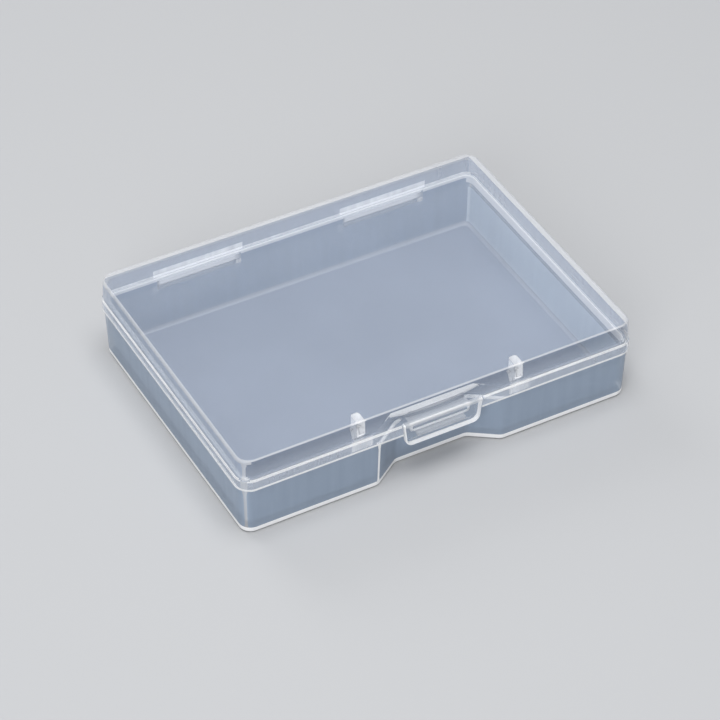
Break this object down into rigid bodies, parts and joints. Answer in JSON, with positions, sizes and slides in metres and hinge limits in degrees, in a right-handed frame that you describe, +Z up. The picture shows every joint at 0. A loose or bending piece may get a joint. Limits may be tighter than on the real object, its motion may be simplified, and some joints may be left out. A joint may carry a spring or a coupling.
{
  "type": "hinged storage box",
  "caption": "Shallow rectangular box of milky see-through plastic with a lid on clip-on hinge barrels, a snap latch flap and a finger recess.",
  "frame": {"origin": "middle of the tray's underside, on the surface the box stands on", "axes": "+X along the long side to the right seen from the latch, +Y from the latch to the hinges, +Z up"},
  "size_m": [0.095, 0.0724, 0.0205],
  "materials": {
    "tray_plastic": "milky translucent, smooth",
    "lid_plastic": "milky translucent, smooth",
    "latch_plastic": "milky translucent, smooth"
  },
  "bodies": {
    "tray": {"base_tray": "tray_plastic"},
    "lid": {"lid": "lid_plastic"},
    "latch": {"latch_flap": "latch_plastic"}
  },
  "joints": [
    {"name": "lid_hinge", "type": "hinge", "parent": "tray", "child": "lid", "pos_m": [0, 0.03585, 0.0129], "axis": [-1, 0, 0], "range_deg": [0, 180]},
    {"name": "latch_flex", "type": "hinge", "parent": "lid", "child": "latch", "pos_m": [0, -0.03475, 0.01505], "axis": [-1, 0, 0], "range_deg": [0, 25], "stiffness_Nm_per_rad": 0.02}
  ]
}
